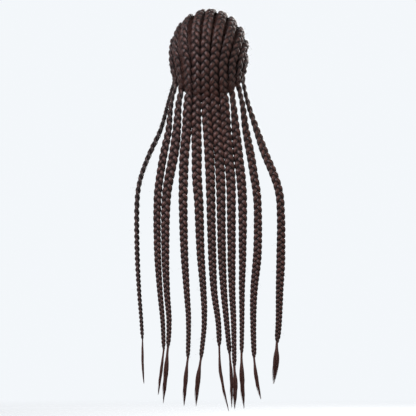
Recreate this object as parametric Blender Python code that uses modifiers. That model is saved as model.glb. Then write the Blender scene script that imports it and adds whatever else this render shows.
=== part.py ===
"""Braided wig in Blender: a thin cap, eleven cornrows plaited over it from the hairline to the nape,
and the eleven long plaits and loose tails that they run out into.

Metres, +Z up. The wearer faces +Y, so the back of the wig faces -Y and number 1 is the leftmost plait
seen from behind. The origin is inside the crown, where the top of the head meets the cap.
Sizes are in millimetres, and MM turns them into metres.
"""

import math
from collections import namedtuple

import bmesh
import bpy
from mathutils import Matrix, Vector

MM = 0.001

# Outside of the cap: an egg that is drawn out downwards, towards the neck
CAP_HALF_WIDTH = 75.0
CAP_HALF_LENGTH = 95.0
CAP_RISE = 85.5
CAP_DROP = 150.0
CAP_WALL = 1.5
CAP_SEGMENTS = 24
CAP_RINGS = 16

# The head's widest section lies this far under the origin
CENTRE = Vector((0.0, 0.0, -(CAP_RISE - CAP_WALL)))

# The cap ends on a slanting plane, from the forehead past the ears to the nape
EAR_DROP = 44.0
EDGE_SLOPE_DEG = 38.5
EAR_NOTCH_RADIUS = 27.0
EAR_NOTCH_BACK = 3.0

# Cornrows: size at the hairline, at the crown, at the back of the head and at the nape
ROW_SEAT = 0.8
ROW_START_DEG = -46.0
ROW_START_STEP_DEG = 10.6
ROW_WIDTHS = (10.0, 12.5, 14.5, 16.5)
ROW_HEIGHTS = (5.5, 7.5, 8.6, 8.8)
ROW_PITCH = 16.5
ROW_START_SHRINK = 0.5
TANGENT_STEP = 0.003
BACK_KEY_FALL = 4.0

# Shape of a plait's lobes, as shares of its width
LOBE_VALLEY = 0.8
LOBE_LEAN = 0.17
PLAIT_THICKNESS = 0.5

# Where a hanging plait leaves the end of its cornrow, and its tail the end of the plait
ROW_TO_PLAIT_GAP = 0.5
ROW_BEND_LOBES = 4
ROW_TURN_LOBES = 6
PLAIT_TO_TAIL_GAP = 0.3
PLAIT_END_SHRINK = 0.55

# Height below the head's widest section, width and lobe spacing of a hanging plait
Size = namedtuple("Size", "fall width pitch")
PLAIT_SIZES = (
    Size(40, 16.4, 17.0),
    Size(110, 18.6, 16.6),
    Size(200, 18.6, 16.2),
    Size(300, 17.2, 15.2),
    Size(370, 16.0, 13.2),
    Size(440, 14.8, 11.8),
    Size(510, 12.2, 10.4),
    Size(575, 10.2, 9.0),
    Size(650, 8.2, 8.2),
)

# How far each row leans at the crown, its bearings round the back and the nape, and where it leaves the cap
Row = namedtuple("Row", "crown_deg back_deg nape_deg leave")
ROWS = (
    Row(-92, -86, -80, -56),
    Row(-70, -71, -67, -64),
    Row(-48, -48, -51, -76),
    Row(-30, -28.5, -33, -86),
    Row(-11, -12.5, -16, -92),
    Row(3.5, 1, 0, -93),
    Row(20, 14.5, 16, -92),
    Row(36.5, 28.5, 34, -89),
    Row(56, 43, 51, -80),
    Row(76, 58, 66, -68),
    Row(95, 75, 80, -56),
)

# Levels under the head's widest section: how far back the middle plait lies there, and what share
# of a side plait's distance in front of it is left
Level = namedtuple("Level", "height back forward_share")
LEVELS = (
    Level(-108, -76, 1.0),
    Level(-164, -80, 0.82),
    Level(-216, -89, 0.55),
    Level(-268, -98, 0.32),
    Level(-319, -105, 0.16),
    Level(-422, -110, 0.1),
    Level(-508, -108, 0.07),
    Level(-577, -105, 0.05),
)

# Sideways place of each plait at those levels and at its end
Places = namedtuple("Places", "nape neck collar shoulder blade back waist hip end")
PLACES = (
    Places(-87, -101, -123, -140, -146, -145, -141, -136, -134),
    Places(-78, -82, -91, -98, -102, -101, -96, -90, -88),
    Places(-60, -63, -68, -77, -83, -84, -81, -76, -79),
    Places(-39, -41, -45, -46, -46, -43, -38, -34, -36),
    Places(-20, -20, -18, -17, -12, -8, -2, 0, -8),
    Places(0, 5, 9, 12, 14, 17, 21, 30, 32),
    Places(20, 26, 30, 34, 36, 38, 42, 48, 54),
    Places(40, 44, 50, 56, 58, 59, 60, 63, 65),
    Places(58, 64, 70, 78, 82, 83, 81, 81, 80),
    Places(76, 84, 96, 106, 114, 115, 107, 105, 107),
    Places(86, 106, 126, 150, 163, 165, 162, 160, 156),
)

# Shares of the full width at the nape, the back and the hip, height and depth of the end, how far in
# front of the middle plait it starts, and the bearings of the flat face down it, 0 being straight back
Plait = namedtuple("Plait", "nape back hip end end_back forward face_high face_middle face_low")
PLAITS = (
    Plait(0.75, 0.95, 1.0, -616, -101, 49, -80, -66, -52),
    Plait(0.68, 0.84, 0.84, -637, -102, 28, -22, 0, 0),
    Plait(0.82, 0.97, 0.94, -633, -103, 12, -6, 0, 0),
    Plait(1.0, 0.95, 0.92, -656, -103, 3, 0, 0, 0),
    Plait(1.0, 1.0, 0.96, -658, -103, 1, 0, 0, 0),
    Plait(1.0, 0.97, 1.0, -630, -103, 0, 0, 0, 0),
    Plait(1.0, 0.97, 1.0, -646, -98, 1, 0, 0, 0),
    Plait(1.0, 0.97, 1.0, -675, -106.5, 3, 0, 0, 0),
    Plait(0.7, 0.96, 0.88, -646, -103, 12, 6, 0, 0),
    Plait(0.7, 0.86, 1.08, -654, -102, 28, 24, 6, 0),
    Plait(0.68, 0.88, 1.12, -622, -101, 49, 34, 16, 8),
)

# Tails: place and width of the widest part, and the tip
Tail = namedtuple("Tail", "belly_x belly_height belly_width tip_x tip_height")
TAILS = (
    Tail(-134, -664, 4.4, -131, -712),
    Tail(-94, -684, 5.2, -100.5, -736),
    Tail(-83, -680, 9.6, -89.5, -755),
    Tail(-41, -700, 8.6, -44.5, -760),
    Tail(-15, -704, 10.0, -18.5, -760),
    Tail(34, -686, 5.2, 53, -772),
    Tail(57.5, -694, 6.2, 58, -764),
    Tail(67, -708, 10.0, 65, -766),
    Tail(80.5, -698, 9.8, 85.5, -766),
    Tail(111, -696, 7.4, 122, -745),
    Tail(154, -664, 13.0, 148, -712),
)
TAIL_NECK_WIDTH = 3.4
TAIL_TIP_WIDTH = 1.0
TAIL_STATIONS = 6

HAIR_COLOUR = (0.072, 0.040, 0.034, 1.0)
CAP_COLOUR = (0.060, 0.034, 0.028, 1.0)


def smooth_through(keys, share):
    """The point at a share from 0 to 1 along a Catmull-Rom curve through the keys."""
    span = share * (len(keys) - 1)
    first = min(int(span), len(keys) - 2)
    t = span - first
    b, c = keys[first], keys[first + 1]
    a = keys[first - 1] if first else b * 2 - c
    d = keys[first + 2] if first + 2 < len(keys) else c * 2 - b
    return (b * 2 + (c - a) * t + (a * 2 - b * 5 + c * 4 - d) * t**2 + (b * 3 - a - c * 3 + d) * t**3) / 2


def between(values, share):
    """The value at a share from 0 to 1 along evenly spaced values."""
    span = share * (len(values) - 1)
    first = min(int(span), len(values) - 2)
    return values[first] + (values[first + 1] - values[first]) * (span - first)


def size_at(fall):
    """Width and lobe spacing of a hanging plait at a height below the head's widest section."""
    for low, high in zip(PLAIT_SIZES, PLAIT_SIZES[1:]):
        if fall <= high.fall:
            break
    share = min(max((fall - low.fall) / (high.fall - low.fall), 0.0), 1.0)
    return low.width + (high.width - low.width) * share, low.pitch + (high.pitch - low.pitch) * share


def head_axes(point):
    """The half sizes of the egg on the point's side of the widest section."""
    return CAP_HALF_WIDTH, CAP_HALF_LENGTH, CAP_RISE if point.z > 0 else CAP_DROP


def onto_head(point):
    """The point moved straight out from the head's middle onto the cap."""
    return point / math.sqrt(sum((p / axis) ** 2 for p, axis in zip(point, head_axes(point))))


def head_normal(point):
    return Vector([p / axis**2 for p, axis in zip(point, head_axes(point))]).normalized()


def from_ear_axis(turn_deg, side_deg):
    """Where a ray from between the ears meets the cap. Turn 0 is up and positive to the back."""
    turn, side = math.radians(turn_deg), math.radians(side_deg)
    ray = Vector((math.sin(side), -math.cos(side) * math.sin(turn), math.cos(side) * math.cos(turn)))
    start = Vector((0.0, 0.0, -EAR_DROP))
    near, far = 0.0, 2 * CAP_DROP
    while far - near > 0.001:
        middle = (near + far) / 2
        point = start + ray * middle
        inside = sum((p / axis) ** 2 for p, axis in zip(point, head_axes(point))) < 1
        near, far = (middle, far) if inside else (near, middle)
    return start + ray * near


def on_level(bearing_deg, height):
    """The point of the cap at a height, at a bearing round the head from straight back."""
    bearing = math.radians(bearing_deg)
    shrink = math.sqrt(1 - (height / (CAP_RISE if height > 0 else CAP_DROP)) ** 2)
    across = CAP_HALF_WIDTH * shrink * math.sin(bearing)
    return Vector((across, -CAP_HALF_LENGTH * shrink * math.cos(bearing), height))


def row_keys(row, step):
    """Hairline, crown, back of the head and nape of one cornrow, on the cap."""
    crown = math.radians(row.crown_deg)
    drop = CAP_RISE if math.cos(crown) > 0 else CAP_DROP
    return [
        from_ear_axis(ROW_START_DEG, ROW_START_STEP_DEG * step),
        Vector((CAP_HALF_WIDTH * math.sin(crown), 0.0, drop * math.cos(crown))),
        on_level(row.back_deg, -BACK_KEY_FALL * abs(step)),
        on_level(row.nape_deg, row.leave),
    ]


def walk(point_at, length_step, detail=400):
    """Shares along a curve that are length_step(share) apart, and spread to end on its end."""
    shares, run = [0.0], 0.0
    last = point_at(0.0)
    for index in range(1, detail + 1):
        share = index / detail
        here = point_at(share)
        run += (here - last).length / length_step(share)
        last = here
        if run >= len(shares):
            shares.append(share)
    stretch = 1.0 / shares[-1]
    return [share * stretch for share in shares]


def material(name, colour, roughness):
    made = bpy.data.materials.new(name)
    made.use_nodes = True
    shader = made.node_tree.nodes["Principled BSDF"]
    shader.inputs["Base Color"].default_value = colour
    shader.inputs["Roughness"].default_value = roughness
    return made


def loft(name, rings, finish):
    """A closed solid through rings of points, each ring running the same way round."""
    mesh = bmesh.new()
    loops = [[mesh.verts.new((CENTRE + point) * MM) for point in ring] for ring in rings]
    for one, two in zip(loops, loops[1:]):
        for k in range(len(one)):
            after = (k + 1) % len(one)
            mesh.faces.new((one[k], one[after], two[after], two[k]))
    mesh.faces.new(reversed(loops[0]))
    mesh.faces.new(loops[-1])
    bmesh.ops.recalc_face_normals(mesh, faces=mesh.faces)
    data = bpy.data.meshes.new(name)
    mesh.to_mesh(data)
    mesh.free()
    data.shade_smooth()
    data.materials.append(finish)
    made = bpy.data.objects.new(name, data)
    wig.objects.link(made)
    return made


def cornrow_rings(row, step):
    """Three-cornered sections whose left and right lobes take turns, seated on the cap."""
    keys = row_keys(row, step)

    def centre_line(share):
        return onto_head(smooth_through(keys, share))

    shares = walk(centre_line, lambda share: ROW_PITCH / 2)
    rings = []
    for index, share in enumerate(shares):
        place = centre_line(share)
        along = centre_line(min(share + TANGENT_STEP, 1.0)) - centre_line(max(share - TANGENT_STEP, 0.0))
        out = head_normal(place)
        across = along.cross(out).normalized()
        shrink = ROW_START_SHRINK if index == 0 else 1.0
        half = between(ROW_WIDTHS, share) / 2 * shrink
        height = between(ROW_HEIGHTS, share) * shrink
        side = 1 if index % 2 else -1
        right, left = (1.0, LOBE_VALLEY) if side > 0 else (LOBE_VALLEY, 1.0)
        base = place + out * ROW_SEAT
        lean = across * (2 * half * LOBE_LEAN * side)
        rings.append((base + across * half * right, base + out * height + lean, base - across * half * left))
    return rings, place, out, along.normalized()


def hang_keys(number, leaving, row_along):
    """The line that a hanging plait follows from its cornrow down to its end."""
    plait, places = PLAITS[number - 1], PLACES[number - 1]
    keys = [leaving + row_along * ROW_TO_PLAIT_GAP]
    for x, level in zip(places, LEVELS):
        keys.append(Vector((x, level.back + plait.forward * level.forward_share, level.height)))
    keys.append(Vector((places.end, plait.end_back, plait.end)))
    return keys


def plait_rings(number, row_end, row_out, row_along):
    """Four-cornered sections, whose lobes take turns on the left and right, front and back."""
    plait = PLAITS[number - 1]
    thickness = size_at(-row_end.z)[0] * PLAIT_THICKNESS
    keys = hang_keys(number, row_end + row_out * (ROW_SEAT + thickness / 2), row_along)

    def line(share):
        return smooth_through(keys, share)

    def half_pitch(share):
        return size_at(-line(share).z)[1] / 2

    fullness = (plait.nape,) * 2 + (plait.back,) * 3 + (plait.hip,) * 3
    row_bearing = math.degrees(math.atan2(row_out.x, -row_out.y))
    bearings = (row_bearing, plait.face_high, plait.face_middle, plait.face_low)
    shares = walk(line, half_pitch)
    rings = []
    for index, share in enumerate(shares):
        place = line(share)
        along = (line(min(share + TANGENT_STEP, 1.0)) - line(max(share - TANGENT_STEP, 0.0))).normalized()
        along = row_along.lerp(along, min(index / ROW_BEND_LOBES, 1.0)).normalized()
        bearing = math.radians(between(bearings, share))
        level_out = Vector((math.sin(bearing), -math.cos(bearing), 0.0))
        out = row_out.lerp(level_out, min(index / ROW_TURN_LOBES, 1.0))
        out = (out - along * out.dot(along)).normalized()
        across = along.cross(out)
        shrink = PLAIT_END_SHRINK if share == shares[-1] else 1.0
        half = size_at(-place.z)[0] * between(fullness, share) / 2 * shrink
        side = 1 if index % 2 else -1
        right, left = (1.0, LOBE_VALLEY) if side > 0 else (LOBE_VALLEY, 1.0)
        top = out * half * PLAIT_THICKNESS + across * (2 * half * LOBE_LEAN * side)
        rings.append((place + across * half * right, place + top, place - across * half * left, place - top))
    return rings, place, along


def add_cap():
    """A round shell with its poles at the ears, cut off by the slanting edge and notched at the ears."""
    mesh = bmesh.new()
    bmesh.ops.create_uvsphere(mesh, u_segments=CAP_SEGMENTS, v_segments=CAP_RINGS, radius=1.0)
    bmesh.ops.rotate(mesh, verts=mesh.verts, matrix=Matrix.Rotation(math.pi / 2, 3, "Y"))
    for vert in mesh.verts:
        drop = CAP_RISE if vert.co.z > 0 else CAP_DROP
        egg = Vector((vert.co.x * CAP_HALF_WIDTH, vert.co.y * CAP_HALF_LENGTH, vert.co.z * drop))
        vert.co = (CENTRE + egg) * MM
    slope = math.radians(EDGE_SLOPE_DEG)
    bmesh.ops.bisect_plane(
        mesh,
        geom=mesh.verts[:] + mesh.edges[:] + mesh.faces[:],
        plane_co=(CENTRE + Vector((0.0, 0.0, -EAR_DROP))) * MM,
        plane_no=(0.0, -math.sin(slope), math.cos(slope)),
        clear_inner=True,
    )
    bmesh.ops.recalc_face_normals(mesh, faces=mesh.faces)
    data = bpy.data.meshes.new("wig_cap")
    mesh.to_mesh(data)
    mesh.free()
    data.shade_smooth()
    data.materials.append(cap_finish)
    cap = bpy.data.objects.new("wig_cap", data)
    wig.objects.link(cap)
    wall = cap.modifiers.new("Wall", "SOLIDIFY")
    wall.thickness = CAP_WALL * MM
    wall.offset = -1.0
    notch = cap.modifiers.new("Ears", "BOOLEAN")
    notch.operation = "DIFFERENCE"
    notch.object = add_ear_cutter()
    return cap


def add_ear_cutter():
    """A rod through both ears, which cuts the two notches in the cap's edge."""
    bpy.ops.mesh.primitive_cylinder_add(
        vertices=20,
        radius=EAR_NOTCH_RADIUS * MM,
        depth=3 * CAP_HALF_WIDTH * MM,
        location=(CENTRE + Vector((0.0, -EAR_NOTCH_BACK, -EAR_DROP))) * MM,
        rotation=(0.0, math.pi / 2, 0.0),
    )
    cutter = bpy.context.object
    cutter.name = "ear_cutter"
    cutter.hide_render = True
    cutter.display_type = "WIRE"
    for collection in cutter.users_collection:
        collection.objects.unlink(cutter)
    cutters.objects.link(cutter)
    return cutter


def add_tail(number, plait_end, plait_along):
    """The loose end of one plait: a thin neck, a belly and a point."""
    tail = TAILS[number - 1]
    start = plait_end + plait_along * PLAIT_TO_TAIL_GAP
    belly = Vector((tail.belly_x, plait_end.y, tail.belly_height))
    keys = [start, start.lerp(belly, 0.5), belly, Vector((tail.tip_x, plait_end.y, tail.tip_height))]
    widths = (TAIL_NECK_WIDTH, 0.7 * tail.belly_width, tail.belly_width, TAIL_TIP_WIDTH)
    curve = bpy.data.curves.new(f"tail_{number}", "CURVE")
    curve.dimensions = "3D"
    curve.bevel_depth = MM / 2
    curve.bevel_resolution = 1
    curve.use_fill_caps = True
    curve.materials.append(hair_finish)
    spline = curve.splines.new("POLY")
    spline.points.add(TAIL_STATIONS - 1)
    for index, point in enumerate(spline.points):
        share = index / (TAIL_STATIONS - 1)
        point.co = (*((CENTRE + smooth_through(keys, share)) * MM), 1.0)
        point.radius = between(widths, share)
    wig.objects.link(bpy.data.objects.new(f"tail_{number}", curve))


for old in list(bpy.data.objects):
    bpy.data.objects.remove(old)
wig = bpy.data.collections.new("braided_wig")
cutters = bpy.data.collections.new("cutters")
bpy.context.scene.collection.children.link(wig)
bpy.context.scene.collection.children.link(cutters)
hair_finish = material("braided_hair", HAIR_COLOUR, 0.45)
cap_finish = material("cap_net", CAP_COLOUR, 0.8)

add_cap()
for number, row in enumerate(ROWS, start=1):
    rings, row_end, row_out, row_along = cornrow_rings(row, number - 6)
    loft(f"cornrow_{number}", rings, hair_finish)
    rings, plait_end, plait_along = plait_rings(number, row_end, row_out, row_along)
    loft(f"braid_{number}", rings, hair_finish)
    add_tail(number, plait_end, plait_along)
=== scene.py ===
"""Long braid wig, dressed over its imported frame: eleven plaits that start as cornrows on a thin cap."""

import math

import bmesh
import bpy
import numpy as np
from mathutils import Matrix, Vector


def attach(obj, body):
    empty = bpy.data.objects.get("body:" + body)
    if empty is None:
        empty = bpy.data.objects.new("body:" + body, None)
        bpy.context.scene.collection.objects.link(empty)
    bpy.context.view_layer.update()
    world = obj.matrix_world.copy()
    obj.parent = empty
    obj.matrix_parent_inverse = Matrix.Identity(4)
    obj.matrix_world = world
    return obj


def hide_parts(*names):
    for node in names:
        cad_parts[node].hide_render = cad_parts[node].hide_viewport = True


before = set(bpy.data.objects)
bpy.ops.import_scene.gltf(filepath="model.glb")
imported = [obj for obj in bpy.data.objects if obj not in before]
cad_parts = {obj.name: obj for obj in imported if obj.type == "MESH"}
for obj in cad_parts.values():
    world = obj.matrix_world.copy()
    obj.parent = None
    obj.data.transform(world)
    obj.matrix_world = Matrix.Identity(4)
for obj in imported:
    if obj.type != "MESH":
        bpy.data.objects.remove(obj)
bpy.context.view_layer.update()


# Plaits: each is one long length of synthetic hair, fed into a flat cornrow on the cap and then plaited
# on below the cap. Three fat strands cross over in turn, so lobes show on the left and right.
PLAITS = range(1, 12)
STRANDS = 3

# The solids have a ring of corners for each lobe, whose sideways spread gives the width there
CORNERS_OF_CORNROW = 3
CORNERS_OF_PLAIT = 4
SPREAD_OF_CORNROW = 0.70
SPREAD_OF_PLAIT = 0.62
LOBES_OF_FIT = 1.0
EAR_AXIS_HEIGHT = -0.128
CAP_MIDDLE_HEIGHT = -0.084

# How finely a plait is followed, how many lobes a strand's full swing makes, and the thin start and end
STEPS_A_LOBE = 5
LOBES_A_SWING = 6
WIDTH_OF_START = 0.45
LOBES_OF_START = 4
WIDTH_OF_END = 0.5
LOBES_OF_END = 3

# Over the crown a cornrow stands prouder and wider than its solid, the outermost two less proud. It rises
# over the first share of its length and comes down over the last
RAISE_OF_CORNROW = 0.0042
RAISE_OF_OUTERMOST = 0.5
WIDENED_ON_CROWN = 0.22
RAISED_OVER = 0.12
LOWERED_OVER = 0.30


class Wire:
    """A socket of a node tree. Operators on it add Math nodes, and add() puts in any other node."""

    def __init__(self, tree, socket=None):
        self.tree = tree
        self.socket = socket

    def add(self, kind, settings=None, inputs=None, out=0):
        """A new node: its settings are set first, then the values or links of its sockets."""
        node = self.tree.nodes.new(kind)
        for name, value in (settings or {}).items():
            if name == "stops":
                set_stops(node.color_ramp.elements, value)
            else:
                setattr(node, name, value)
        for name, value in (inputs or {}).items():
            if isinstance(value, Wire):
                self.tree.links.new(value.socket, node.inputs[name])
            else:
                node.inputs[name].default_value = value
        return Wire(self.tree, node.outputs[out] if node.outputs else None)

    def beside(self, out):
        """Another output of the same node."""
        return Wire(self.tree, self.socket.node.outputs[out])

    def maths(self, operation, *values):
        is_vector = any(isinstance(v, Wire) and v.socket.type == "VECTOR" for v in values)
        kind = "ShaderNodeVectorMath" if is_vector else "ShaderNodeMath"
        return self.add(kind, {"operation": operation}, dict(enumerate(values)))

    def __add__(self, other):
        return self.maths("ADD", self, other)

    def __radd__(self, other):
        return self.maths("ADD", other, self)

    def __sub__(self, other):
        return self.maths("SUBTRACT", self, other)

    def __rsub__(self, other):
        return self.maths("SUBTRACT", other, self)

    def __mul__(self, other):
        if self.socket.type != "VECTOR":
            return self.maths("MULTIPLY", self, other)
        if isinstance(other, Vector) or isinstance(other, Wire) and other.socket.type == "VECTOR":
            return self.maths("MULTIPLY", self, other)
        return self.add("ShaderNodeVectorMath", {"operation": "SCALE"}, {0: self, "Scale": other})

    def __rmul__(self, other):
        return self * other

    def __truediv__(self, other):
        return self.maths("DIVIDE", self, other)

    def __pow__(self, other):
        return self.maths("POWER", self, other)

    def sine(self):
        return self.maths("SINE", self)

    def dot(self, other):
        settings = {"operation": "DOT_PRODUCT"}
        return self.add("ShaderNodeVectorMath", settings, {0: self, 1: other}, out="Value")

    def rise(self, low, high):
        """0 where this value is under low, 1 where it is over high, and a smooth rise between them."""
        inputs = {"Value": self, "From Min": low, "From Max": high}
        return self.add("ShaderNodeMapRange", {"interpolation_type": "SMOOTHSTEP"}, inputs)

    def mixed(self, first, second):
        """A colour between two, by this value. The colour sockets share their names, so they go by place."""
        inputs = {"Factor": self, 6: first, 7: second}
        return self.add("ShaderNodeMix", {"data_type": "RGBA"}, inputs, out=2)


def set_stops(elements, stops):
    """Places and colours of a colour ramp, which has two elements to start with."""
    while len(elements) < len(stops):
        elements.new(0.5)
    for element, (place, colour) in zip(elements, stops.items()):
        element.position = place
        element.color = colour


def node_points(name):
    """The different corners of a CAD node, whose triangles each have corners of their own."""
    corners = [vertex.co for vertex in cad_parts[name].data.vertices]
    return np.unique(np.round(corners, 6), axis=0)


def follow(points, order, places, reach):
    """Middle, sideways direction and sideways spread of the points near each place in their order."""
    middles, sideways, spreads = [], [], []
    for place in places:
        weight = np.exp(-(((order - place) / reach) ** 2) / 2)
        basis = np.stack([np.ones_like(order), order - place], 1)
        weighted = basis * weight[:, None]
        fit = np.linalg.solve(basis.T @ weighted, weighted.T @ points)
        along = fit[1] / np.linalg.norm(fit[1])
        rest = points - basis @ fit
        rest -= np.outer(rest @ along, along)
        sizes, axes = np.linalg.eigh((rest * weight[:, None]).T @ rest / weight.sum())
        middles.append(fit[0])
        sideways.append(axes[:, 2])
        spreads.append(math.sqrt(sizes[2]))
    return np.array(middles), np.array(sideways), np.array(spreads)


def unit(vectors):
    """The vectors, one a row, each made one long."""
    return vectors / np.linalg.norm(vectors, axis=1)[:, None]


def soften(values, reach):
    """Running average over twice the reach, with the ends held."""
    shape = np.hanning(2 * reach + 3)[1:-1]
    shape /= shape.sum()
    padded = np.concatenate([np.repeat(values[:1], reach, 0), values, np.repeat(values[-1:], reach, 0)])
    columns = [np.convolve(column, shape, "valid") for column in padded.reshape(len(padded), -1).T]
    return np.array(columns).T.reshape(values.shape)


def lobe_places(points, key, corners):
    """Each point's place counted in lobes, and evenly spaced places over them."""
    order = np.argsort(np.argsort(key)) / corners
    last = len(points) // corners - 1
    return order - (corners - 1) / corners / 2, np.linspace(0, last, last * STEPS_A_LOBE + 1)


def guide_of(number):
    """Line, width, phase and directions of one plait, read from its cornrow and hanging solids."""
    row = node_points(f"cornrow_{number}")
    turn = np.arctan2(-row[:, 1], row[:, 2] - EAR_AXIS_HEIGHT)
    order, on_row = lobe_places(row, turn, CORNERS_OF_CORNROW)
    row_line, row_across, row_spread = follow(row, order, on_row, LOBES_OF_FIT)
    hanging = node_points(f"braid_{number}")
    order, below = lobe_places(hanging, -hanging[:, 2], CORNERS_OF_PLAIT)
    line, across, spread = follow(hanging, order, below, LOBES_OF_FIT)
    lobes = np.concatenate([on_row, below + on_row[-1] + 1 / STEPS_A_LOBE])
    width = 2 * np.concatenate([row_spread / SPREAD_OF_CORNROW, spread / SPREAD_OF_PLAIT])
    start = WIDTH_OF_START + (1 - WIDTH_OF_START) * np.clip(lobes / LOBES_OF_START, 0, 1)
    end = WIDTH_OF_END + (1 - WIDTH_OF_END) * np.clip((lobes[-1] - lobes) / LOBES_OF_END, 0, 1)
    line = soften(np.concatenate([row_line, line]), STEPS_A_LOBE)
    along = unit(np.gradient(line, axis=0))
    out = unit(np.cross(np.concatenate([row_across, across]), along))
    level = np.minimum(line[:, 2], CAP_MIDDLE_HEIGHT)
    outward = line - np.stack([0 * level, 0 * level, level], 1)
    out *= np.sign(np.sum(out * outward, 1))[:, None]
    out = soften(out, 3 * STEPS_A_LOBE)
    out = unit(out - along * np.sum(out * along, 1)[:, None])
    share = np.clip(np.arange(len(lobes)) / len(on_row), 0, 1)
    share_raised = np.clip(share / RAISED_OVER, 0, 1) * np.clip((1 - share) / LOWERED_OVER, 0, 1)
    raise_here = RAISE_OF_CORNROW * (RAISE_OF_OUTERMOST if number in (PLAITS[0], PLAITS[-1]) else 1)
    line += out * soften(raise_here * share_raised, STEPS_A_LOBE)[:, None]
    width *= 1 + WIDENED_ON_CROWN * share_raised
    return {
        "line": line,
        "out": out,
        "across": np.cross(along, out),
        "width": soften(width * start * end, 2 * STEPS_A_LOBE),
        "phase": lobes * 2 * math.pi / LOBES_A_SWING,
        "on_cap": (np.arange(len(lobes)) < len(on_row)) * 1.0,
    }


def guide_mesh(guide):
    """A chain of edges that carries the guide's values on its points."""
    mesh = bpy.data.meshes.new("guide")
    count = len(guide["line"])
    mesh.from_pydata(guide["line"], [(i, i + 1) for i in range(count - 1)], [])
    for key, values in guide.items():
        if key != "line":
            is_vector = values.ndim == 2
            layer = mesh.attributes.new(key, "FLOAT_VECTOR" if is_vector else "FLOAT", "POINT")
            layer.data.foreach_set("vector" if is_vector else "value", np.ravel(values))
    return mesh


def nodes_tree(name, **sizes):
    """An empty Geometry Nodes tree with named inputs: geometry, numbers, an object and a material."""
    tree = bpy.data.node_groups.new(name, "GeometryNodeTree")
    face = tree.interface
    face.new_socket("Geometry", in_out="OUTPUT", socket_type="NodeSocketGeometry")
    face.new_socket("Geometry", in_out="INPUT", socket_type="NodeSocketGeometry")
    for label, value in sizes.items():
        kind = "NodeSocketInt" if isinstance(value, int) else "NodeSocketFloat"
        face.new_socket(label, in_out="INPUT", socket_type=kind).default_value = value
    face.new_socket("Surface", in_out="INPUT", socket_type="NodeSocketObject")
    face.new_socket("Material", in_out="INPUT", socket_type="NodeSocketMaterial")
    group = tree.nodes.new("NodeGroupInput")
    return tree, {socket.name: Wire(tree, socket) for socket in group.outputs if socket.name}


def tree_end(result, material):
    """Realizes the instances, sets shading and material, and links the tree's output."""
    result = result.add("GeometryNodeRealizeInstances", inputs={"Geometry": result})
    result = result.add("GeometryNodeSetShadeSmooth", inputs={"Geometry": result, "Shade Smooth": True})
    result = result.add("GeometryNodeSetMaterial", inputs={"Geometry": result, "Material": material})
    result.add("NodeGroupOutput", inputs={"Geometry": result})


def grown(name, base, tree, **values):
    """The plain mesh that a Geometry Nodes tree makes from a base mesh."""
    source = bpy.data.objects.new(name + "_source", base)
    bpy.context.scene.collection.objects.link(source)
    modifier = source.modifiers.new("Nodes", "NODES")
    modifier.node_group = tree
    for item in tree.interface.items_tree:
        if item.in_out == "INPUT" and item.name in values:
            modifier[item.identifier] = values[item.name]
    depsgraph = bpy.context.evaluated_depsgraph_get()
    mesh = bpy.data.meshes.new_from_object(source.evaluated_get(depsgraph))
    bpy.data.objects.remove(source)
    mesh.name = name
    made = bpy.data.objects.new(name, mesh)
    bpy.context.scene.collection.objects.link(made)
    return made


def named(wire, name, kind="FLOAT"):
    """An attribute of the geometry, read by its name."""
    return wire.add("GeometryNodeInputNamedAttribute", {"data_type": kind}, {"Name": name})


def stored(geometry, name, value, kind="FLOAT", domain="POINT"):
    """The geometry with a value kept on it under a name."""
    return geometry.add(
        "GeometryNodeStoreNamedAttribute",
        {"data_type": kind, "domain": domain},
        {"Geometry": geometry, "Name": name, "Value": value},
    )


# How far out a point lies on its plait, from 0 at the middle to about 1, which sets how much painted shade
# the hair material puts on it. A single fibre counts as outermost
RAISED_ALONE = 1.12


def swept(wire, curve, sides, flatness):
    """A strand along the curve, with its fibre coordinates stored: round the strand, and down it."""
    length = wire.add("GeometryNodeSplineParameter", out="Length")
    curve = stored(curve, "down", length)
    curve = stored(curve, "along", wire.add("GeometryNodeInputTangent"), "FLOAT_VECTOR")
    curve = stored(curve, "raised", RAISED_ALONE)
    ring = wire.add("GeometryNodeCurvePrimitiveCircle", inputs={"Resolution": sides, "Radius": 1.0})
    place = wire.add("GeometryNodeInputPosition")
    ring = stored(ring, "round", place, "FLOAT_VECTOR")
    shape = wire.add("ShaderNodeCombineXYZ", inputs={"X": flatness, "Y": 1.0, "Z": 1.0})
    ring = wire.add("GeometryNodeTransform", inputs={"Geometry": ring, "Scale": shape})
    radius = wire.add("GeometryNodeInputRadius")
    mesh = wire.add(
        "GeometryNodeCurveToMesh",
        inputs={"Curve": curve, "Profile Curve": ring, "Fill Caps": True, "Scale": radius},
    )
    down = wire.add("ShaderNodeCombineXYZ", inputs={"Z": named(wire, "down")})
    fibre = named(wire, "round", "FLOAT_VECTOR") + down
    return stored(mesh, "fibre", fibre, "FLOAT_VECTOR")


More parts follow.
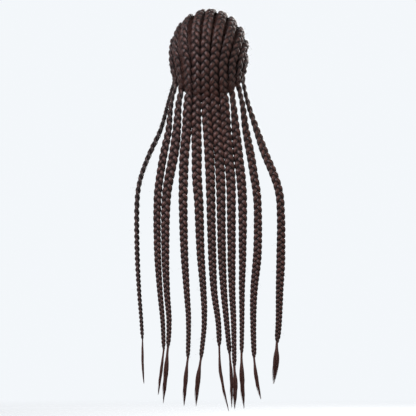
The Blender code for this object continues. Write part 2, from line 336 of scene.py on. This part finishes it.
def plait_tree():
    """Three strands round a guide, each swinging from side to side once while it goes in and out twice."""
    tree, given = nodes_tree(
        "three_strand_plait",
        Swing=0.30,
        Depth=0.115,
        Strand_radius=0.28,
        Flatness=0.64,
        Pinch=0.1,
        Pinch_lead=0.35,
        Sides=12,
    )
    wire = given["Geometry"]
    curve = wire.add("GeometryNodeMeshToCurve", inputs={"Mesh": wire})
    copies = wire.add(
        "GeometryNodeDuplicateElements", {"domain": "SPLINE"}, {"Geometry": curve, "Amount": STRANDS}
    )
    curve = stored(copies, "strand", copies.beside("Duplicate Index"), domain="CURVE")
    curve = stored(curve, "middle", wire.add("GeometryNodeInputPosition"), "FLOAT_VECTOR")
    turn = named(wire, "phase") + named(wire, "strand") * (2 * math.pi / STRANDS)
    double = turn * 2.0
    width = named(wire, "width")
    out = named(wire, "out", "FLOAT_VECTOR")
    across = named(wire, "across", "FLOAT_VECTOR")
    side = across * (width * given["Swing"] * turn.sine())
    front = out * (width * given["Depth"] * double.sine())
    curve = wire.add("GeometryNodeSetPosition", inputs={"Geometry": curve, "Offset": side + front})
    curve = wire.add("GeometryNodeSetCurveNormal", {"mode": "FREE"}, {"Curve": curve, "Normal": out})
    pinch = 1.0 + given["Pinch"] * (double + given["Pinch_lead"]).sine()
    radius = width * given["Strand_radius"] * pinch
    curve = wire.add("GeometryNodeSetCurveRadius", inputs={"Curve": curve, "Radius": radius})
    mesh = swept(wire, curve, given["Sides"], given["Flatness"])
    away = wire.add("GeometryNodeInputPosition") - named(wire, "middle", "FLOAT_VECTOR")
    wide = away.dot(across) / (width * (given["Swing"] + given["Strand_radius"]))
    deep = away.dot(out) / (width * (given["Depth"] + given["Strand_radius"] * given["Flatness"]))
    # How far out each point lies, for the painted shade in the crevices between the strands
    mesh = stored(mesh, "raised", wire.maths("SQRT", wide * wide + deep * deep))
    tree_end(mesh, given["Material"])
    return tree


# Streaks, as noise cells across a strand's radius, both ways, and down a metre of it. A strand's number
# moves it to streaks of its own, and the places are where the noise has the three tones
FINE_STREAKS = Vector((11.0, 11.0, 50.0))
FINE_DETAIL = 4.0
BROAD_STREAKS = Vector((3.2, 3.2, 24.0))
BROAD_DETAIL = 2.0
STREAK_ROUGHNESS = 0.6
STREAK_SHIFT = 7.0
TONE_PLACES = (0.38, 0.5, 0.62)
GLOSS_CHANGE = 0.2
STREAK_HEIGHT = 0.0007
STREAK_STRENGTH = 0.8

# A strand has its own colour from the crest height up and is painted dark below the crevice height, as
# painted shade where the next one passes over it. Its two edges count as lower by the share of the edge
# shade, so painted shade also runs along them.
CREVICE_HEIGHT = 0.62
CREST_HEIGHT = 1.02
EDGE_SHADE = 0.35
HAIR_SPECULAR = 0.15
HAIR_SPECULAR_TINT = (1.0, 0.83, 0.83, 1.0)


def new_material(name):
    """An empty node material, and a wire to build it with."""
    made = bpy.data.materials.new(name)
    made.use_nodes = True
    made.node_tree.nodes.clear()
    return made, Wire(made.node_tree)


def opaque(colour):
    """The colour with its fourth value, which the sockets and the ramp ask for."""
    return (*colour, 1.0)


def hair_material(name, dark, middle, light, roughness):
    """Smooth synthetic fibre: fine streaks down each strand in colour, gloss and height, and painted shade.
    """
    made, wire = new_material(name)
    fibre = wire.add("ShaderNodeAttribute", {"attribute_name": "fibre"}, out="Vector")
    strand = wire.add("ShaderNodeAttribute", {"attribute_name": "strand"}, out="Fac")
    raised = wire.add("ShaderNodeAttribute", {"attribute_name": "raised"}, out="Fac")

    def streaks(cells, detail):
        inputs = {
            "Vector": fibre * cells,
            "W": strand * STREAK_SHIFT,
            "Scale": 1.0,
            "Detail": detail,
            "Roughness": STREAK_ROUGHNESS,
        }
        return wire.add("ShaderNodeTexNoise", {"noise_dimensions": "4D"}, inputs)

    fine = streaks(FINE_STREAKS, FINE_DETAIL)
    broad = streaks(BROAD_STREAKS, BROAD_DETAIL)
    stops = dict(zip(TONE_PLACES, map(opaque, (dark, middle, light))))
    colour = wire.add("ShaderNodeValToRGB", {"stops": stops}, {"Fac": broad * 0.5 + fine * 0.5})
    # Painted shade: the base colour goes to the dark tone in the crevices between strands and along their
    # edges
    edge = fibre.dot(Vector((0.0, 1.0, 0.0)))
    unshaded_share = (raised * (1.0 - edge * edge * EDGE_SHADE)).rise(CREVICE_HEIGHT, CREST_HEIGHT)
    bump = wire.add(
        "ShaderNodeBump",
        inputs={"Height": fine * 0.5 + broad, "Strength": STREAK_STRENGTH, "Distance": STREAK_HEIGHT},
    )
    shader = wire.add(
        "ShaderNodeBsdfPrincipled",
        inputs={
            "Base Color": unshaded_share.mixed(opaque(dark), colour),
            "Roughness": roughness + (fine - 0.5) * GLOSS_CHANGE,
            "Normal": bump,
            "Specular IOR Level": HAIR_SPECULAR,
            "Specular Tint": HAIR_SPECULAR_TINT,
        },
    )
    wire.add("ShaderNodeOutputMaterial", inputs={"Surface": shader})
    return made


plait_hair = hair_material(
    "plait_hair",
    dark=(0.0008, 0.0002, 0.0001),
    middle=(0.0128, 0.0045, 0.0032),
    light=(0.0400, 0.0166, 0.0130),
    roughness=0.48,
)
plaiting = plait_tree()
guides = {}
for number in PLAITS:
    guide = guide_of(number)
    guides[number] = guide
    plait = grown(f"plait_{number}", guide_mesh(guide), plaiting, Material=plait_hair)
    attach(plait, "root")
    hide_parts(f"cornrow_{number}", f"braid_{number}")


# Tails: below each plait the ends of the same synthetic hair are left loose. They start thin, swell into
# a soft bunch and run out to a point, because they aren't all cut to one length.
TAIL_STEPS = 12
TAIL_REACH = 0.012
TAIL_SPREAD = 0.60
TAIL_HIDDEN = 0.007
THIN_START = 0.42
THIN_LENGTH = 0.3
TAIL_SIDES = 5

# Lowest and highest value of a fibre's wave, as radians down it, radians at its start, and height, and
# of the share of its length that it is cut to
WAVE_RADIANS = (5.0, 13.0)
WAVE_START = (0.0, 6.0)
WAVE_HEIGHT = (0.0, 0.0011)
CUT_LENGTH = (0.66, 1.0)


def tail_guide(number):
    """Line, width and directions of one tail, read from its solid, with a thin start under the plait."""
    points = node_points(f"tail_{number}")
    places = np.linspace(-points[:, 2].max(), -points[:, 2].min(), TAIL_STEPS)
    line, across, spread = follow(points, -points[:, 2], places, TAIL_REACH)
    line = soften(line, 1)
    line[0] += unit(line[:1] - line[1:2])[0] * TAIL_HIDDEN
    last = guides[number]["out"][-1]
    along = unit(np.gradient(line, axis=0))
    out = unit(last - along * (along @ last)[:, None])
    grown_out = np.clip(np.linspace(0, 1 / THIN_LENGTH, TAIL_STEPS), 0, 1)
    width = 2 * spread / TAIL_SPREAD * (THIN_START + (1 - THIN_START) * grown_out)
    return {"line": line, "out": out, "across": np.cross(along, out), "width": width}


def chance(wire, limits, seed, one_for=None):
    """A random number between two limits, one for each number in one_for, or for each point. The node's
    two number sockets share their names with others, so they go by place."""
    inputs = {2: limits[0], 3: limits[1], "Seed": seed}
    if one_for:
        inputs["ID"] = one_for
    return wire.add("FunctionNodeRandomValue", {"data_type": "FLOAT"}, inputs, out=1)


def tail_tree():
    """Loose fibres spread over a guide's width, each cut to its own length."""
    tree, given = nodes_tree("loose_tail", Fibres=130, Fibre_radius=0.00042, Thinned=0.75, Seed=0)
    wire = given["Geometry"]
    curve = wire.add("GeometryNodeMeshToCurve", inputs={"Mesh": wire})
    copies = wire.add(
        "GeometryNodeDuplicateElements", {"domain": "SPLINE"}, {"Geometry": curve, "Amount": given["Fibres"]}
    )
    curve = stored(copies, "strand", copies.beside("Duplicate Index"), domain="CURVE")
    strand = named(wire, "strand")
    seed = given["Seed"]
    share = wire.add("GeometryNodeSplineParameter")

    # The square root spreads the fibres evenly over a round as wide as the guide
    angle = chance(wire, (0.0, 2 * math.pi), seed + 1, strand)
    reach = chance(wire, (0.0, 1.0), seed + 2, strand) ** 0.5 * named(wire, "width") * 0.5
    radians = share * chance(wire, WAVE_RADIANS, seed + 4, strand)
    radians += chance(wire, WAVE_START, seed + 5, strand)
    wave = radians.sine() * chance(wire, WAVE_HEIGHT, seed + 6, strand)
    side = named(wire, "across", "FLOAT_VECTOR") * (wire.maths("COSINE", angle) * reach + wave)
    front = named(wire, "out", "FLOAT_VECTOR") * (angle.sine() * reach)
    curve = wire.add("GeometryNodeSetPosition", inputs={"Geometry": curve, "Offset": side + front})
    cut = chance(wire, CUT_LENGTH, seed + 7, strand)
    curve = wire.add("GeometryNodeTrimCurve", {"mode": "FACTOR"}, {"Curve": curve, "End": cut})
    radius = given["Fibre_radius"] * (1.0 - share ** 3 * given["Thinned"])
    curve = wire.add("GeometryNodeSetCurveRadius", inputs={"Curve": curve, "Radius": radius})
    tree_end(swept(wire, curve, TAIL_SIDES, 1.0), given["Material"])
    return tree


loose_hair = hair_material(
    "loose_hair",
    dark=(0.0050, 0.0014, 0.0010),
    middle=(0.0210, 0.0075, 0.0055),
    light=(0.0480, 0.0200, 0.0160),
    roughness=0.42,
)
loosening = tail_tree()
for number in PLAITS:
    tail = grown(f"loose_tail_{number}", guide_mesh(tail_guide(number)), loosening, Material=loose_hair)
    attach(tail, "root")
    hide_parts(f"tail_{number}")


# Cap: a thin stretch net of dark threads that the cornrows are fixed to. It is a copy of the CAD solid
# with its loose triangles joined, and shows inside the wig and as a dark ground between the rows.
JOINED_WITHIN = 0.00001
NET_CELLS_A_METRE = 420.0
NET_HOLE_EDGE = 6.0
NET_THREAD = (0.030, 0.0135, 0.0105)
NET_HOLE = (0.004, 0.0018, 0.0014)
NET_ROUGHNESS = 0.8
NET_SPECULAR = 0.15
NET_HEIGHT = 0.0005
NET_STRENGTH = 0.6


def net_material():
    """Round threads between small many-sided holes, which go dark away from the thread."""
    made, wire = new_material("net")
    place = wire.add("ShaderNodeTexCoord", out="Object")
    inputs = {"Vector": place, "Scale": NET_CELLS_A_METRE}
    cells = wire.add("ShaderNodeTexVoronoi", {"feature": "DISTANCE_TO_EDGE"}, inputs)
    bump = wire.add(
        "ShaderNodeBump", inputs={"Height": cells, "Strength": NET_STRENGTH, "Distance": NET_HEIGHT}
    )
    shader = wire.add(
        "ShaderNodeBsdfPrincipled",
        inputs={
            "Base Color": (cells * NET_HOLE_EDGE).mixed(opaque(NET_THREAD), opaque(NET_HOLE)),
            "Roughness": NET_ROUGHNESS,
            "Specular IOR Level": NET_SPECULAR,
            "Normal": bump,
        },
    )
    wire.add("ShaderNodeOutputMaterial", inputs={"Surface": shader})
    return made


cap_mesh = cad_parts["wig_cap"].data.copy()
cap_mesh.name = "net_cap"
cap_edit = bmesh.new()
cap_edit.from_mesh(cap_mesh)
bmesh.ops.remove_doubles(cap_edit, verts=cap_edit.verts, dist=JOINED_WITHIN)
cap_edit.to_mesh(cap_mesh)
cap_edit.free()
cap = bpy.data.objects.new("net_cap", cap_mesh)
bpy.context.scene.collection.objects.link(cap)
cap_mesh.materials.clear()
cap_mesh.materials.append(net_material())
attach(cap, "root")
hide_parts("wig_cap")


# Combed hair: between the cornrows the same synthetic hair lies flat on the cap, combed back and
# sideways from each parting into the row beside it, in many fine locks that end under the row's plait.
LOCK_SPACING = 0.0016
OUTER_GAP = 0.012
COMB_STATIONS = 7
COMB_LENGTH = 0.020
LOCK_SIDES = 5
HAIRLINE_STATIONS = 8
HAIRLINE_SIDE = 0.010
HAIRLINE_INSET = 0.0015

# Lowest and highest random start of a lock, in locks, and shares of its reach and of its lift
START_SHIFT = (-1.5, 1.5)
REACH_SHARE = (0.98, 1.10)
LIFT_SHARE = (0.5, 1.0)
cap_corners = node_points("wig_cap")


def gap_to(line, other):
    """Half the way from each point of a row to the nearest point of the next one."""
    if other is None:
        return np.full(len(line), OUTER_GAP)
    return np.linalg.norm(line[:, None] - other[None], axis=2).min(1) / 2


def to_hairline(row):
    """The row's guide drawn on from where its plait starts to the front edge of the cap."""
    start = row["line"][0]
    ahead = unit(row["line"][:1] - row["line"][1:2])[0]
    beside = np.abs((cap_corners - start) @ row["across"][0]) < HAIRLINE_SIDE
    reach = ((cap_corners[beside] - start) @ ahead).max() - HAIRLINE_INSET
    longer = {}
    for key, values in row.items():
        longer[key] = np.concatenate([values[:1].repeat(HAIRLINE_STATIONS, 0), values])
    steps = np.linspace(reach, 0, HAIRLINE_STATIONS, endpoint=False)
    longer["line"][:HAIRLINE_STATIONS] += ahead * steps[:, None]
    return longer


def row_guide(number):
    """The part of a plait's guide that lies on the cap, with the distance to the parting on each side."""
    cut = {key: value[guides[number]["on_cap"] > 0] for key, value in guides[number].items()}
    for key, other in (("gap_left", number - 1), ("gap_right", number + 1)):
        beside = guides[other]["line"][guides[other]["on_cap"] > 0] if other in guides else None
        cut[key] = gap_to(cut["line"], beside)
    return to_hairline(cut)


def combing_tree():
    """Locks on both sides of a row, from the parting back and in to the row, laid on the cap."""
    tree, given = nodes_tree(
        "combed_hair",
        Locks=100,
        Comb=0.08,
        Lock_radius=0.0015,
        Flatness=0.35,
        Lift=0.0032,
        Rise=0.0060,
        Bend_in=0.75,
        Seed=10,
    )
    wire = given["Geometry"]
    row = wire.add("GeometryNodeMeshToCurve", inputs={"Mesh": wire})
    points = wire.add("GeometryNodePoints", inputs={"Count": given["Locks"]})
    chain = wire.add("GeometryNodeMeshLine", inputs={"Count": COMB_STATIONS})
    locks = wire.add("GeometryNodeInstanceOnPoints", inputs={"Points": points, "Instance": chain})
    locks = wire.add("GeometryNodeRealizeInstances", inputs={"Geometry": locks})

    # Half a step more keeps the rounding down clear of whole numbers
    index = wire.add("GeometryNodeInputIndex")
    locks = stored(locks, "strand", wire.maths("FLOOR", (index + 0.5) / COMB_STATIONS))
    lock = named(wire, "strand")
    down_lock = (index - lock * COMB_STATIONS) / (COMB_STATIONS - 1)
    side = wire.maths("MODULO", lock, 2.0) * 2.0 - 1.0

    # A lock whose start lies before the hairline starts at the hairline, and misses that share of its length
    shift = chance(wire, START_SHIFT, given["Seed"] + 1, lock)
    start = (lock + shift) / given["Locks"] * (1.0 + given["Comb"]) - given["Comb"]
    missed = wire.maths("MAXIMUM", 0.0 - start / given["Comb"], 0.0)
    share = missed + (1.0 - missed) * down_lock
    place = start + given["Comb"] * share

    def sampled(name, kind="FLOAT"):
        inputs = {"Curves": row, "Value": named(wire, name, kind), "Factor": place}
        return wire.add("GeometryNodeSampleCurve", {"data_type": kind, "mode": "FACTOR"}, inputs)

    inputs = {"Curves": row, "Factor": place}
    at = wire.add("GeometryNodeSampleCurve", {"mode": "FACTOR"}, inputs, out="Position")
    gap_right = sampled("gap_right")
    gap_left = sampled("gap_left")
    gap = gap_left + (gap_right - gap_left) * (side + 1.0) * 0.5
    reach = chance(wire, REACH_SHARE, given["Seed"] + 2, lock)
    inward = (1.0 - share) ** given["Bend_in"]
    aside = sampled("across", "FLOAT_VECTOR") * (side * gap * inward * reach)
    cap_shape = wire.add("GeometryNodeObjectInfo", inputs={"Object": given["Surface"]}, out="Geometry")
    inputs = {"Geometry": cap_shape, "Sample Position": at + aside}
    touch = wire.add("GeometryNodeProximity", inputs=inputs, out="Position")
    lift = given["Lift"] * chance(wire, LIFT_SHARE, given["Seed"] + 3, lock)
    height = lift + given["Rise"] * (down_lock * (math.pi / 2)).sine()
    normal = sampled("out", "FLOAT_VECTOR")
    inputs = {"Geometry": locks, "Position": touch + normal * height}
    locks = wire.add("GeometryNodeSetPosition", inputs=inputs)
    locks = stored(locks, "out", normal, "FLOAT_VECTOR")
    curve = wire.add("GeometryNodeMeshToCurve", inputs={"Mesh": locks})
    inputs = {"Curve": curve, "Normal": named(wire, "out", "FLOAT_VECTOR")}
    curve = wire.add("GeometryNodeSetCurveNormal", {"mode": "FREE"}, inputs)
    inputs = {"Curve": curve, "Radius": given["Lock_radius"]}
    curve = wire.add("GeometryNodeSetCurveRadius", inputs=inputs)
    tree_end(swept(wire, curve, LOCK_SIDES, given["Flatness"]), given["Material"])
    return tree


# The combed hair's dark and middle tones are lighter than the plaits': partly the hair's own tone, and
# partly painted light that makes up for the shade it lies in, low between the rows.
combed_hair = hair_material(
    "combed_hair",
    dark=(0.0026, 0.0006, 0.0004),
    middle=(0.0145, 0.0048, 0.0031),
    light=(0.0360, 0.0142, 0.0102),
    roughness=0.45,
)
combing = combing_tree()
for number in PLAITS:
    row = row_guide(number)
    length = np.linalg.norm(np.diff(row["line"], axis=0), axis=1).sum()
    combed = grown(
        f"combed_hair_{number}",
        guide_mesh(row),
        combing,
        Locks=int(2 * length / LOCK_SPACING),
        Comb=COMB_LENGTH / length,
        Surface=cap,
        Material=combed_hair,
    )
    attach(combed, "root")


# Stray hairs: a few single fibres of the same hair work loose from every plait and stand off it, leaning
# down it in a shallow arc. They are held only by the plait that they come out of.
STRAY_SIDES = 3
STRAY_STEPS = 5
STRAY_LENGTH = (0.4, 1.3)
ARC_MIDDLE = (0.1, 0.05, 0.5)
ARC_END = (0.35, 0.0, 0.95)


def stray_tree():
    """Short curved fibres scattered over a plait, leaning down it."""
    tree, given = nodes_tree(
        "stray_hairs",
        Density=3200.0,
        Fibre_radius=0.00006,
        Length=0.013,
        Outward=0.2,
        Wildness=0.3,
        Seed=5,
    )
    wire = given["Geometry"]
    inputs = {"Mesh": wire, "Density": given["Density"], "Seed": given["Seed"]}
    scatter = wire.add("GeometryNodeDistributePointsOnFaces", inputs=inputs)
    inputs = {"Min": (-1.0, -1.0, -1.0), "Max": (1.0, 1.0, 1.0)}
    wild = wire.add("FunctionNodeRandomValue", {"data_type": "FLOAT_VECTOR"}, inputs)
    outward = scatter.beside("Normal") * given["Outward"]
    lean = named(wire, "along", "FLOAT_VECTOR") + outward + wild * given["Wildness"]
    turned = wire.add("FunctionNodeAlignRotationToVector", {"axis": "Z"}, {"Vector": lean})
    inputs = {"Resolution": STRAY_STEPS, "Start": (0, 0, 0), "Middle": ARC_MIDDLE, "End": ARC_END}
    arc = wire.add("GeometryNodeCurveQuadraticBezier", inputs=inputs)
    size = given["Length"] * chance(wire, STRAY_LENGTH, given["Seed"] + 3)
    inputs = {"Points": scatter, "Instance": arc, "Rotation": turned, "Scale": size}
    fibres = wire.add("GeometryNodeInstanceOnPoints", inputs=inputs)
    fibres = wire.add("GeometryNodeRealizeInstances", inputs={"Geometry": fibres})
    inputs = {"Curve": fibres, "Radius": given["Fibre_radius"]}
    curve = wire.add("GeometryNodeSetCurveRadius", inputs=inputs)
    tree_end(swept(wire, curve, STRAY_SIDES, 1.0), given["Material"])
    return tree


straying = stray_tree()
for number in PLAITS:
    base = bpy.data.objects[f"plait_{number}"].data.copy()
    strays = grown(f"stray_hairs_{number}", base, straying, Material=plait_hair)
    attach(strays, "root")


# Floor, light and camera: a plain pale floor that fades out into a pale surround, soft studio light, and
# the camera at the photograph's angle, a little to the right of straight behind the wig.
FLOOR_HEIGHT = -0.90
FLOOR_RADIUS = 4.0
FLOOR_SIDES = 96
FLOOR_COLOUR = (0.27, 0.28, 0.29, 1.0)
FLOOR_ROUGHNESS = 0.7
FADE_FROM = 0.5
FADE_TO = 3.6
SURROUND_COLOUR = (0.90, 0.93, 0.96, 1.0)
LIT_POINT = Vector((0.0, 0.0, -0.35))


def floor_material():
    """Matt paint that looks pale under the lamps, clearer and clearer away from the floor's middle."""
    made, wire = new_material("pale_floor")
    place = wire.add("ShaderNodeTexCoord", out="Object")
    distance = wire.add("ShaderNodeVectorMath", {"operation": "LENGTH"}, {0: place}, out="Value")
    inputs = {"Base Color": FLOOR_COLOUR, "Roughness": FLOOR_ROUGHNESS}
    paint = wire.add("ShaderNodeBsdfPrincipled", inputs=inputs)
    clear = wire.add("ShaderNodeBsdfTransparent")
    fade = distance.rise(FADE_FROM, FADE_TO)
    shader = wire.add("ShaderNodeMixShader", inputs={0: fade, 1: paint, 2: clear})
    wire.add("ShaderNodeOutputMaterial", inputs={"Surface": shader})
    return made


def soft_light(name, place, size, power, colour):
    """A square lamp with soft shadows, turned to the lit point."""
    lamp = bpy.data.lights.new(name, "AREA")
    lamp.size = size
    lamp.energy = power
    lamp.color = colour
    made = bpy.data.objects.new(name, lamp)
    made.location = place
    made.rotation_euler = (LIT_POINT - Vector(place)).to_track_quat("-Z", "Y").to_euler()
    bpy.context.scene.collection.objects.link(made)


bpy.ops.mesh.primitive_circle_add(
    vertices=FLOOR_SIDES, radius=FLOOR_RADIUS, fill_type="NGON", location=(0, 0, FLOOR_HEIGHT)
)
floor = bpy.context.object
floor.name = "floor"
floor.data.materials.append(floor_material())

surround = bpy.data.worlds.new("surround")
surround.use_nodes = True
background = surround.node_tree.nodes["Background"]
background.inputs["Color"].default_value = SURROUND_COLOUR
background.inputs["Strength"].default_value = 1.0
bpy.context.scene.world = surround
bpy.context.scene.view_settings.view_transform = "Standard"

soft_light("key", place=(-1.6, -2.4, 1.5), size=1.0, power=365.0, colour=(0.98, 0.96, 1.0))
soft_light("fill", place=(2.4, -1.4, 0.6), size=1.2, power=85.0, colour=(1.0, 0.84, 0.72))
soft_light("front", place=(0.7, 2.8, 0.5), size=1.6, power=110.0, colour=(1.0, 0.96, 0.92))

VIEW_TURN_DEG = 6.0
VIEW_DISTANCE = 20.0
VIEW_MIDDLE = Vector((0.0025, -0.055, -0.4162))
MM_A_PIXEL = 2.15
IMAGE_PIXELS = 416
SENSOR_WIDTH_MM = 36.0
view_turn = math.radians(VIEW_TURN_DEG)
camera_data = bpy.data.cameras.new("camera")
camera_data.sensor_width = SENSOR_WIDTH_MM
camera_data.lens = SENSOR_WIDTH_MM * VIEW_DISTANCE / (MM_A_PIXEL * IMAGE_PIXELS / 1000)
camera = bpy.data.objects.new("camera", camera_data)
camera.location = VIEW_MIDDLE + Vector((math.sin(view_turn), -math.cos(view_turn), 0.0)) * VIEW_DISTANCE
camera.rotation_euler = (math.pi / 2, 0.0, view_turn)
bpy.context.scene.collection.objects.link(camera)
bpy.context.scene.camera = camera
